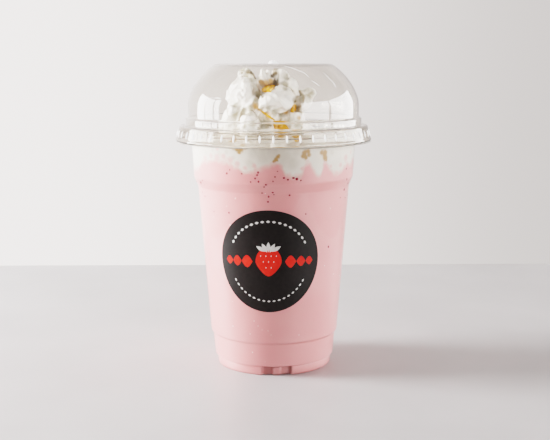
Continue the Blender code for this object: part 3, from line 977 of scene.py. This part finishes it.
# Lobes of cream that show in front, in millimetres: tip, root, width, and how far it is a pointed horn
LOBES = (
    ((-15.9, -11.0, 151.3), (-9.5, -4.0, 136.2), 17.5, 0.25),
    ((-21.6, -10.0, 145.2), (-14.7, -4.0, 136.8), 10.0, 0.1),
    ((-10.9, -6.0, 152.2), (-9.5, -4.0, 139.8), 10.0, 0.1),
    ((-14.1, 2.0, 156.1), (-9.5, 2.0, 143.7), 10.0, 0.2),
    ((-5.4, -8.0, 155.7), (-4.3, -4.0, 145.0), 5.5, 0.7),
    ((-2.2, -3.0, 156.4), (-1.7, -3.0, 144.9), 7.0, 0.4),
    ((3.0, 6.0, 156.0), (2.0, 4.0, 143.6), 9.0, 0.3),
    ((5.0, -6.0, 155.2), (6.1, -4.0, 142.4), 6.5, 0.5),
    ((9.4, -8.0, 151.6), (10.7, -5.0, 137.8), 6.5, 0.8),
    ((21.0, -4.0, 144.9), (7.1, -3.0, 137.7), 9.0, 0.0),
    ((-6.6, -22.0, 137.6), (8.6, -10.0, 143.1), 12.5, 0.0),
    ((6.5, -14.0, 145.3), (3.9, -10.0, 131.9), 12.0, 0.4),
    ((-3.2, -21.0, 134.6), (3.9, -13.0, 129.0), 11.0, 0.2),
    ((-21.0, -13.0, 136.7), (-12.0, -7.0, 130.8), 9.5, 0.2),
    ((-24.2, -12.0, 130.1), (-14.2, -7.0, 122.5), 11.0, 0.2),
    ((-14.8, -15.0, 137.8), (-11.0, -10.0, 127.4), 8.5, 0.4),
    ((-11.2, -21.0, 134.6), (-13.4, -17.0, 119.2), 12.5, 0.2),
    ((-7.8, -26.0, 131.9), (-8.7, -21.0, 121.6), 4.5, 1.0),
    ((11.5, -17.0, 133.8), (7.0, -11.0, 122.8), 11.0, 0.0),
    ((-22.4, -19.0, 125.0), (-13.6, -12.0, 114.7), 12.0, 0.0),
    ((14.0, -17.0, 126.7), (7.5, -12.0, 117.2), 11.0, 0.0),
    ((-0.7, -24.0, 126.8), (-0.7, -19.0, 117.3), 13.0, 0.1),
)
# Lobes round the hidden back: reach, height, width and count of each row
BACK_ROWS = ((20.0, 131.0, 14.0, 8), (15.5, 142.0, 13.0, 6), (8.0, 150.5, 10.5, 4))
# Lobes that close the gaps between those in front, seen only through them
GAP_LOBES = (
    ((-9.8, -16.5, 142.5), (-8.6, -11.0, 129.0), 9.0, 0.1),
    ((-6.8, -19.0, 135.5), (-6.0, -13.0, 124.0), 6.5, 0.1),
)
# The heap under the lobes, as radius and height, and how far its top leans to the left
HEAP = (
    (0.0, 149.0), (7.0, 147.0), (12.5, 141.0), (17.0, 132.0), (23.0, 124.5), (31.0, 120.5), (38.0, 118.5),
    (38.0, 112.0), (0.0, 112.0),
)
MOUND_X = -5.0 * MM
LOBE_RINGS = 26
LOBE_SIDES = 40
MOUND_VOXEL = 0.5 * MM
# The mound's relief, each a noise scale and a height: waves of the lobes, bends of the folds, folds,
# creases and grain. All of it starts a little under the smooth face.
LOBE_WAVE = (95.0, 1.2 * MM)
FOLD_BEND = (90.0, 3.0 * MM)
FOLD = (120.0, 1.5 * MM)
CREASE = (290.0, 0.6 * MM)
GRAIN = (900.0, 0.08 * MM)
RELIEF_BASE = -0.6 * MM
# Rays that tell how deep a point lies in a fold, for painted shade: how many, how long, and their start over
# the surface
RECESS_RAYS = 14
RECESS_REACH = 9.0 * MM
RECESS_LIFT = 0.3 * MM


def in_metres(tip, root, width, horn):
    """A lobe from the tables above."""
    return Vector(tip) * MM, Vector(root) * MM, width * MM, horn


def lobe_places():
    draw = random.Random(SEED)
    places = [in_metres(*row) for row in LOBES]
    for reach, height, width, count in BACK_ROWS:
        for index in range(count):
            azimuth = math.radians(-8.0 + 196.0 * (index + 0.5) / count) + draw.uniform(-0.12, 0.12)
            outward = Vector((math.cos(azimuth), math.sin(azimuth), 0.0))
            middle = Vector((MOUND_X, 0.0, 0.0))
            tip = middle + outward * reach * draw.uniform(0.92, 1.05) * MM
            tip.z = (height + draw.uniform(-2.0, 3.0)) * MM
            root = middle + outward * reach * 0.5 * MM
            root.z = tip.z - draw.uniform(9.0, 14.0) * MM
            places.append((tip, root, width * draw.uniform(0.85, 1.15) * MM, draw.uniform(0.0, 0.6)))
    return places + [in_metres(*row) for row in GAP_LOBES]


def add_lobe(bm, tip, root, width, horn, draw):
    """A lobe of cream with a few soft facets, twisted and bent from its root to its tip."""
    rings = LOBE_RINGS
    sides = LOBE_SIDES
    count = draw.choice((3, 4, 5))
    facets = []
    for index in range(count):
        facing = math.tau * (index + draw.uniform(-0.22, 0.22)) / count
        facets.append((facing, draw.uniform(0.78, 0.95)))
    twist = draw.uniform(-1.1, 1.1)
    bend = draw.uniform(-0.3, 0.3)
    axis = tip - root
    side = axis.cross(Vector((0.0, 0.0, 1.0))).normalized()
    lift = side.cross(axis).normalized()
    bow = (lift * draw.uniform(0.25, 0.55) + side * bend) * axis.length
    loops = []
    for ring in range(1, rings):
        share = (1.0 - math.cos(math.pi * ring / rings)) / 2
        swell = share ** (1.0 - 0.45 * horn)
        center = root + axis * share + bow * (share * share - share)
        radius = width / 2 * (4.0 * swell * (1.0 - swell)) ** (0.45 + 0.4 * horn)
        loop = []
        for corner in range(sides):
            angle = math.tau * corner / sides
            reach = 1.25
            for facing, distance in facets:
                toward = math.cos(angle - facing - twist * share)
                if toward > 0.2:
                    reach = min(reach, distance / toward)
            reach = radius * (0.25 + 0.75 * reach)
            across = side * math.cos(angle) * reach
            upward = lift * math.sin(angle) * reach
            loop.append(bm.verts.new(center + across + upward))
        loops.append(loop)
    first = bm.verts.new(root)
    last = bm.verts.new(tip)
    for corner in range(sides):
        after = (corner + 1) % sides
        bm.faces.new((first, loops[0][after], loops[0][corner]))
        for below, above in zip(loops, loops[1:]):
            bm.faces.new((below[corner], below[after], above[after], above[corner]))
        bm.faces.new((last, loops[-1][corner], loops[-1][after]))


def mark_recess_shade(obj, surface):
    """How deep each point lies in a fold: the share of short rays off the surface that meet it again, for
    painted shade in the folds.
    """
    draw = random.Random(SEED + 3)
    rays = []
    while len(rays) < RECESS_RAYS:
        ray = Vector((draw.uniform(-1, 1), draw.uniform(-1, 1), draw.uniform(-1, 1)))
        if 0.1 < ray.length < 1.0:
            rays.append(ray.normalized())
    recess_shade = obj.data.attributes.new("recess_shade", "FLOAT", "POINT")
    for vertex, value in zip(obj.data.vertices, recess_shade.data):
        start = vertex.co + vertex.normal * RECESS_LIFT
        met = 0
        for ray in rays:
            outward = (ray + vertex.normal * 1.05).normalized()
            if surface.ray_cast(start, outward, RECESS_REACH)[0] is not None:
                met += 1
        value.value = met / len(rays)


def ridge(place, scale, height):
    """A ridge along the lines where a noise changes sign, with nothing beside them."""
    return (1.0 - min(1.0, 2.6 * abs(noise.noise(place * scale)))) ** 1.5 * height


def drift(place, scale, size):
    """A soft shift to any side."""
    return noise.noise_vector(place * scale) * size


def make_cream_mound():
    """The heap and all its lobes, joined, softened and roughened like whipped cream."""
    draw = random.Random(SEED + 2)
    noise.seed_set(SEED)
    bm = bmesh.new()
    for tip, root, width, horn in lobe_places():
        add_lobe(bm, tip, root, width, horn, draw)
    for vertex in bm.verts:
        vertex.co += drift(vertex.co, *LOBE_WAVE)
    bmesh.ops.recalc_face_normals(bm, faces=bm.faces)
    heap = turned("heap", [(radius * MM, height * MM) for radius, height in HEAP])
    for vertex in heap.data.vertices:
        rise = (vertex.co.z - CREAM_EDGE) / (LID_TOP - CREAM_EDGE)
        vertex.co.x += MOUND_X * max(0.0, min(1.0, rise * 3))
    bm.from_mesh(heap.data)
    bpy.data.objects.remove(heap)
    mound = mesh_object("whipped_cream_mound", bm)
    remesh = mound.modifiers.new("Join", "REMESH")
    remesh.mode = "VOXEL"
    remesh.voxel_size = MOUND_VOXEL
    soften = mound.modifiers.new("Soften", "SMOOTH")
    soften.factor = 0.5
    soften.iterations = 3
    apply_modifiers(mound)
    normals = [vertex.normal.copy() for vertex in mound.data.vertices]
    for vertex, normal in zip(mound.data.vertices, normals):
        place = vertex.co.copy()
        bent = place + drift(place, *FOLD_BEND)
        grain = noise.noise(place * GRAIN[0]) * GRAIN[1]
        vertex.co = place + normal * (ridge(bent, *FOLD) + ridge(bent, *CREASE) + grain + RELIEF_BASE)
    return mound


# Syrup on the cream: outlines in pixels of the photograph, and the thickness in millimetres
SYRUP_PATCHES = (
    (((262, 89.5), (266, 86), (274, 85.2), (273.5, 89), (270, 92), (263, 91.5)), 1.6),
    (((292.5, 106), (295, 104.5), (296.2, 106), (295.5, 110), (293, 112.3), (290.5, 111.5)), 1.2),
    (((261, 111), (264, 112), (270, 116.4), (275, 119.8), (274.5, 120.6), (269, 117.6), (263, 113.2)), 0.5),
    (((272.5, 121.8), (277, 121.2), (283, 123), (287, 126.5), (289, 129.5), (281, 129.3), (275, 128.6)), 1.6),
    (((292, 134.5), (300, 134), (301, 137), (297, 142.5), (293, 139)), 1.0),
    (((277, 135.5), (280, 134), (283.5, 136.5), (283, 139), (278.5, 138.8)), 0.8),
    (((238, 147.2), (244, 147.5), (245, 149.5), (241, 151), (239, 149.5)), 0.6),
)

# Puddles of syrup, in pixels of the photograph: grid step, soft edge, spread past the outline and cut
PUDDLE_STEP = 0.35
PUDDLE_SOFT = 1.6
PUDDLE_SPREAD = 0.5
PUDDLE_CUT = -0.2
# How far the puddles sink into the cream, how deep their root is, and their stain's reach in millimetres
PUDDLE_SINK = 0.15 * MM
PUDDLE_ROOT = 0.5 * MM
PUDDLE_STAIN = 2.2

# Folds that syrup has run through, in pixels of the photograph, and its reach in millimetres
FOLD_SYRUP_PIXELS = (
    (262, 82, 2.0), (266, 83, 2.4), (271, 81, 1.8), (255, 106, 2.4), (259, 109, 2.0), (293, 107, 2.4),
    (295, 112, 1.8), (299, 118, 1.8), (302, 124, 1.6), (286, 112, 1.6), (253, 74, 1.8), (281, 133, 2.5),
    (233, 142, 2.5),
)

# Folds with greyish painted shade, in pixels of the photograph, and their reach in millimetres
FOLD_SHADE_PIXELS = (
    (306, 90, 3.2), (311, 93, 3.0), (303, 97, 2.6), (308, 96, 3.0), (286, 77, 3.0), (284, 84, 2.6),
    (285, 89, 1.8), (252, 80, 2.6), (255, 86, 2.6), (258, 95, 2.6), (257, 101, 2.4), (236, 106, 2.2),
    (243, 112, 3.4), (236, 115, 2.6), (248, 114, 2.6), (250, 107, 2.4), (267, 68, 2.2), (275, 112, 2.8),
    (281, 114, 2.4), (268, 108, 1.8), (265, 124, 3.4), (290, 121, 3.0), (298, 124, 3.0), (252, 124, 2.6),
    (244, 126, 2.0), (243, 69, 2.8), (248, 71, 3.0), (252, 75, 2.6), (247, 76, 2.0),
)

# Deep folds with dark brown painted shade, in pixels of the photograph, and their reach in millimetres
FOLD_DEEP_SHADE_PIXELS = (
    (275, 69, 2.2), (274, 73, 2.2), (273, 77, 1.8), (276, 82, 2.2), (295.5, 100, 2.2), (297, 97, 1.6),
    (263, 96.5, 1.2), (248, 71.5, 1.4), (252, 73, 1.5), (255, 77, 1.3), (242, 73, 0.9),
)


def inside(outline, x, y):
    """Distance of a pixel from the edge of an outline, positive inside."""
    hit = False
    nearest = 1e9
    for (ax, ay), (bx, by) in zip(outline, outline[1:] + outline[:1]):
        if (ay > y) != (by > y) and x < ax + (y - ay) / (by - ay) * (bx - ax):
            hit = not hit
        share = ((x - ax) * (bx - ax) + (y - ay) * (by - ay)) / ((bx - ax) ** 2 + (by - ay) ** 2)
        share = max(0.0, min(1.0, share))
        nearest = min(nearest, math.hypot(x - ax - share * (bx - ax), y - ay - share * (by - ay)))
    return nearest if hit else -nearest


def square(column, line):
    """Corners of a cell of the grid that a puddle is drawn on."""
    return [(column, line), (column + 1, line), (column + 1, line + 1), (column, line + 1)]


def make_syrup(mound):
    """Puddles that lie on the cream where the photograph shows them, thick in the middle."""
    surface = surface_of(mound)
    step = PUDDLE_STEP
    bm = bmesh.new()
    spots = []
    for outline, thickness in SYRUP_PATCHES:
        left = min(x for x, _ in outline) - 1
        top = min(y for _, y in outline) - 1
        columns = int((max(x for x, _ in outline) - left + 1) / step)
        rows = int((max(y for _, y in outline) - top + 1) / step)
        points = {}
        for column in range(columns + 1):
            for line in range(rows + 1):
                x = left + column * step
                y = top + line * step
                edge = inside(outline, x, y) + PUDDLE_SPREAD
                if edge < PUDDLE_CUT:
                    continue
                place, normal, _, _ = surface.ray_cast(CAMERA_PLACE, pixel_ray(x, y))
                if place is not None:
                    height = thickness * MM * math.sqrt(max(0.0, min(1.0, edge / PUDDLE_SOFT)))
                    points[column, line] = (place, normal, height)
        total = sum((place for place, _, _ in points.values()), Vector())
        spots.append((total / len(points), (PUDDLE_STAIN + thickness) * MM))
        upper = {}
        lower = {}
        for key, (place, normal, height) in points.items():
            upper[key] = bm.verts.new(place + normal * (height - PUDDLE_SINK))
            lower[key] = bm.verts.new(place - normal * PUDDLE_ROOT)
        cells = {key for key in points if all(corner in points for corner in square(*key))}
        for column, line in points:
            if (column, line) not in cells:
                continue
            ring = square(column, line)
            bm.faces.new([upper[key] for key in reversed(ring)])
            bm.faces.new([lower[key] for key in ring])
            beside = ((column, line - 1), (column + 1, line), (column, line + 1), (column - 1, line))
            for start, end, cell in zip(ring, ring[1:] + ring[:1], beside):
                if cell not in cells:
                    bm.faces.new((upper[start], upper[end], lower[end], lower[start]))
    bmesh.ops.delete(bm, geom=[v for v in bm.verts if not v.link_faces], context="VERTS")
    bmesh.ops.recalc_face_normals(bm, faces=bm.faces)
    syrup = mesh_object("syrup_drops", bm)
    finish_piece(syrup, syrup_material(), "whipped_cream", "whipped_cream")
    folds = (
        ("syrup", FOLD_SYRUP_PIXELS, spots),
        ("shade", FOLD_SHADE_PIXELS, []),
        ("deep_shade", FOLD_DEEP_SHADE_PIXELS, []),
    )
    for name, pixels, marks in folds:
        for x, y, reach in pixels:
            place = surface.ray_cast(CAMERA_PLACE, pixel_ray(x, y))[0]
            if place is not None:
                marks.append((place, reach * MM))
        mark_spots(mound, name, marks)
    mark_recess_shade(mound, surface)
    finish_piece(mound, CREAM, "whipped_cream", "whipped_cream")
    light_only("cream_light", CREAM_LIGHT, mound, syrup)


def make_specks(name, places, sizes, depth, material):
    """Small flattened beads at the outer face of the drink."""
    draw = random.Random(SEED)
    bm = bmesh.new()
    for azimuth, height in places:
        size = draw.uniform(*sizes)
        radius = wall_radius(height) - FILLING_INSET - depth
        place = Matrix.Translation(around(azimuth, radius, height))
        turn = Matrix.Rotation(azimuth, 4, "Z")
        stretch = Matrix.Diagonal((draw.uniform(0.8, 1.3), 0.6, draw.uniform(0.8, 1.3), 1.0))
        bmesh.ops.create_icosphere(bm, subdivisions=2, radius=size / 2, matrix=place @ turn @ stretch)
    finish_piece(mesh_object(name, bm), material, "milkshake")


def make_seeds_and_bubbles():
    draw = random.Random(SEED + 1)
    seeds = [on_wall(x, y) for x, y in SEED_PIXELS]
    for _ in range(MORE_SEEDS):
        seeds.append((draw.uniform(1.0, math.tau - 1.0), draw.gauss(SEED_HEIGHT, SEED_SPREAD) * MM))
    seeds = [(azimuth, height) for azimuth, height in seeds if height < meeting_height(azimuth) - MM]
    red = speck_material("seed_red", srgb(134, 26, 44), srgb(160, 44, 64))
    make_specks("drink_seeds", seeds, SEED_SIZES, SEED_DEPTH, red)
    bubbles = [on_wall(x, y) for x, y in BUBBLE_PIXELS]
    for _ in range(MORE_BUBBLES):
        bubbles.append((draw.uniform(0.0, math.tau), draw.uniform(*BUBBLE_HEIGHTS) * MM))
    pale = speck_material("bubble_pale", srgb(244, 216, 215), srgb(250, 232, 230))
    make_specks("drink_bubbles", bubbles, BUBBLE_SIZES, BUBBLE_DEPTH, pale)


# The sticker and its print

def sticker_point(across, up, lift):
    """A point on the sticker: across and up from its centre, at a height over the wall's face."""
    height = STICKER_HEIGHT + up
    azimuth = STICKER_AZIMUTH + across / wall_radius(STICKER_HEIGHT)
    return around(azimuth, wall_radius(height) + lift, height)


def wrapped(name, outlines, lift, thickness):
    """Flat outlines bent round the wall, cut fine enough to follow it, and given a thickness."""
    bm = bmesh.new()
    for outline in outlines:
        bm.faces.new([bm.verts.new((x, y, 0.0)) for x, y in outline])
    bm.normal_update()
    xs = [vertex.co.x for vertex in bm.verts]
    high = max(xs)
    cut = min(xs) + STICKER_CELL
    while cut < high:
        geometry = bm.verts[:] + bm.edges[:] + bm.faces[:]
        bmesh.ops.bisect_plane(bm, geom=geometry, plane_co=(cut, 0.0, 0.0), plane_no=(1.0, 0.0, 0.0))
        cut += STICKER_CELL
    for face in bm.faces:
        face.normal_update()
        if face.normal.z < 0:
            face.normal_flip()
    for vertex in bm.verts:
        vertex.co = sticker_point(vertex.co.x, vertex.co.y, lift)
    obj = mesh_object(name, bm)
    sheet = obj.modifiers.new("Sheet", "SOLIDIFY")
    sheet.thickness = thickness
    sheet.offset = 1.0
    apply_modifiers(obj)
    return obj


def berry_outline(width, height, steps=40):
    """A strawberry's outline: broad shoulders and a rounded point."""
    points = []
    for step in range(steps):
        angle = math.tau * step / steps
        x = math.sin(angle)
        y = math.cos(angle)
        narrow = 1.0 - 0.42 * max(0.0, -y) ** 1.3
        points.append((x * width / 2 * narrow, y * height / 2))
    return points


def leaf_outline(center, length, width, turn, steps):
    """A pointed leaf, as two arcs between its ends."""
    points = []
    for half in (1, -1):
        for step in range(steps):
            share = step / steps
            along = (share - 0.5) * length * half
            out = math.sin(share * math.pi) * width / 2 * half
            points.append((
                center[0] + along * math.cos(turn) - out * math.sin(turn),
                center[1] + along * math.sin(turn) + out * math.cos(turn),
            ))
    return points


def dash_arc(start, end, length, width):
    """Pointed dashes set along an arc of a circle round the sticker's centre, from one angle to another."""
    dashes = []
    for index in range(DASH_COUNT):
        angle = math.radians(start + (end - start) * (index + 0.5) / DASH_COUNT)
        center = (DASH_RADIUS * math.cos(angle), DASH_RADIUS * math.sin(angle))
        dashes.append(leaf_outline(center, length, width, angle + math.pi / 2, 8))
    return dashes


def crown_leaf(x):
    """One leaf of the berry's crown, leaning outwards with its distance from the middle."""
    center = (x * MM, CROWN_HEIGHT - abs(x) * CROWN_DROP * MM)
    return leaf_outline(center, *CROWN_LEAF_SIZE, math.pi / 2 - x * CROWN_LEAN, 8)


def make_sticker():
    outline = arc((0.0, 0.0), STICKER_RADIUS, 0.0, math.tau, 144)[:-1]
    disc = wrapped("sticker_disc", [outline], STICKER_LIFT, STICKER_THICKNESS)
    black = print_material("sticker_black", srgb(25, 20, 19), srgb(32, 27, 26), 0.42)
    finish_piece(disc, black, "sticker", "sticker", crisp=True)
    red = [berry_outline(*BERRY_SIZE)]
    for side in (-1, 1):
        for reach, size in LOZENGES:
            red.append(leaf_outline((side * reach * MM, 0.0), size * MM, size * 1.1 * MM, 0.0, 12))
    white = [crown_leaf(x) for x in CROWN_LEAVES]
    for setup in DASH_ARCS:
        white += dash_arc(*setup)
    seeds = []
    for y, count in BERRY_SEED_ROWS:
        for index in range(count):
            x = (index - (count - 1) / 2) * BERRY_SEED_STEP
            seeds.append(leaf_outline((x * MM, y * MM), *BERRY_SEED_SIZE, math.pi / 2, 6))
    pale = (srgb(214, 212, 210), srgb(230, 228, 226))
    lift = STICKER_LIFT + STICKER_THICKNESS
    for name, ink, colors, outlines, height in (
        ("sticker_print_red", "ink_red", (srgb(250, 40, 24), srgb(255, 56, 36)), red, lift),
        ("sticker_print_white", "ink_white", pale, white, lift + PRINT_LIFT),
        ("sticker_print_seeds", "ink_seed", pale, seeds, lift + PRINT_LIFT),
    ):
        piece = wrapped(name, outlines, height, PRINT_LIFT)
        finish_piece(piece, print_material(ink, *colors, 0.45), "sticker", crisp=True)


view = bpy.context.scene.view_settings
view.view_transform = "Filmic"
view.look = "High Contrast"
view.exposure = 1.0
# Cream where it presses against the wall: greyer as pressed cream, and darkened as painted shade
SHADED_CREAM_AT_WALL = srgb(221, 212, 200)
CREAM = cream_material()
# Ribs, scuffs and nub: frosted plastic with a faint painted glint
FROSTED_GLINT = frosted_plastic("frosted_plastic", srgb(246, 246, 245), srgb(254, 254, 254), 0.35)
# The lip's bead: grey as painted shade for the dark line along the lip
LIP_SHADE_PLASTIC = frosted_plastic("lip_shade_plastic", srgb(206, 202, 197), srgb(216, 213, 209), 0.0)
make_camera()
make_world()
make_lights()
make_table()
make_cup()
make_scuff_glints(make_lid())
make_nub()
make_lip_bead()
make_ribs()
make_milkshake()
make_cream_fill()
make_syrup(make_cream_mound())
make_seeds_and_bubbles()
make_sticker()
